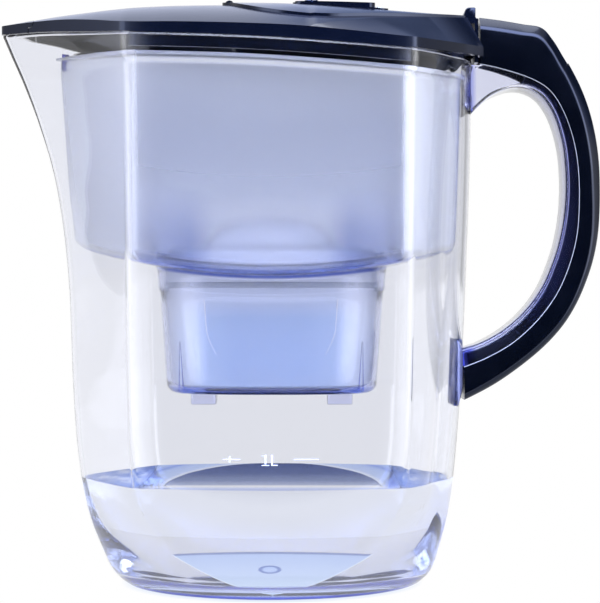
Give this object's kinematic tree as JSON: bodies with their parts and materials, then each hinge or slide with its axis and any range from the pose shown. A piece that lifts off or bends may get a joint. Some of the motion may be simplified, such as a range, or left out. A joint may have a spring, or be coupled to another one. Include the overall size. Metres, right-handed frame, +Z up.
{
  "type": "water filter pitcher",
  "caption": "Clear faceted pitcher with a lift-out filter reservoir, a cartridge in a well, a dark lid with hinged spout and fill flaps, and a covered handle.",
  "frame": {"origin": "on the table, under the middle of the jug, at the gate pad of the base", "axes": "+Z up, -X towards the spout, +X towards the handle, -Y is the side that faces the camera"},
  "size_m": [0.268, 0.1436, 0.2604],
  "materials": {
    "clear_jug": "clear, polished",
    "dark_cover": "dark navy, satin gloss",
    "reservoir_tint": "clear blue tint, polished",
    "filter_plastic": "pale blue, fine matt",
    "seal": "soft",
    "mesh": "fine mesh",
    "carbon": "granular",
    "resin": "beads",
    "lid_plastic": "dark navy, satin gloss",
    "steel_pin": "drawn wire",
    "window": "clear, polished",
    "display": "liquid crystal",
    "board": "solder resist",
    "led": "clear",
    "cell": "pressed can",
    "button": "satin"
  },
  "bodies": {
    "jug": {"jug_body": "clear_jug", "handle_cap": "dark_cover", "handle_cover": "dark_cover", "handle_insert": "dark_cover"},
    "reservoir": {"hopper": "reservoir_tint"},
    "cartridge": {"cartridge_shell": "filter_plastic", "cartridge_cap": "filter_plastic", "cartridge_seal": "seal", "inlet_mesh": "mesh", "carbon_bed": "carbon", "resin_bed": "resin", "outlet_mesh": "mesh"},
    "lid": {"lid_shell": "lid_plastic", "spout_flap_pin": "steel_pin", "fill_flap_pin": "steel_pin"},
    "spout_flap": {"spout_flap": "lid_plastic"},
    "fill_flap": {"fill_flap": "lid_plastic", "indicator_housing": "lid_plastic", "display_window": "window", "indicator_lens": "window", "lcd_panel": "display", "circuit_board": "board", "status_led": "led", "coin_cell": "cell", "module_cover": "lid_plastic", "module_screws": "steel_pin"},
    "reset_button": {"reset_button": "button"}
  },
  "joints": [
    {"name": "reservoir_lift", "type": "slide", "parent": "jug", "child": "reservoir", "axis": [0, 0, 1], "range_m": [0, 0.17]},
    {"name": "cartridge_lift", "type": "slide", "parent": "reservoir", "child": "cartridge", "axis": [0, 0, 1], "range_m": [0, 0.06]},
    {"name": "lid_lift", "type": "slide", "parent": "reservoir", "child": "lid", "axis": [0, 0, 1], "range_m": [0, 0.05]},
    {"name": "fill_flap_hinge", "type": "hinge", "parent": "lid", "child": "fill_flap", "pos_m": [-0.0186, 0, 0.2564], "axis": [0, -1, 0], "range_deg": [0, 80]},
    {"name": "spout_flap_hinge", "type": "hinge", "parent": "lid", "child": "spout_flap", "pos_m": [-0.1072, 0, 0.2487], "axis": [0, 1, 0], "range_deg": [0, 60]},
    {"name": "button_press", "type": "slide", "parent": "fill_flap", "child": "reset_button", "axis": [0, 0, -1], "range_m": [0, 0.0008], "stiffness_N_per_m": 400}
  ]
}
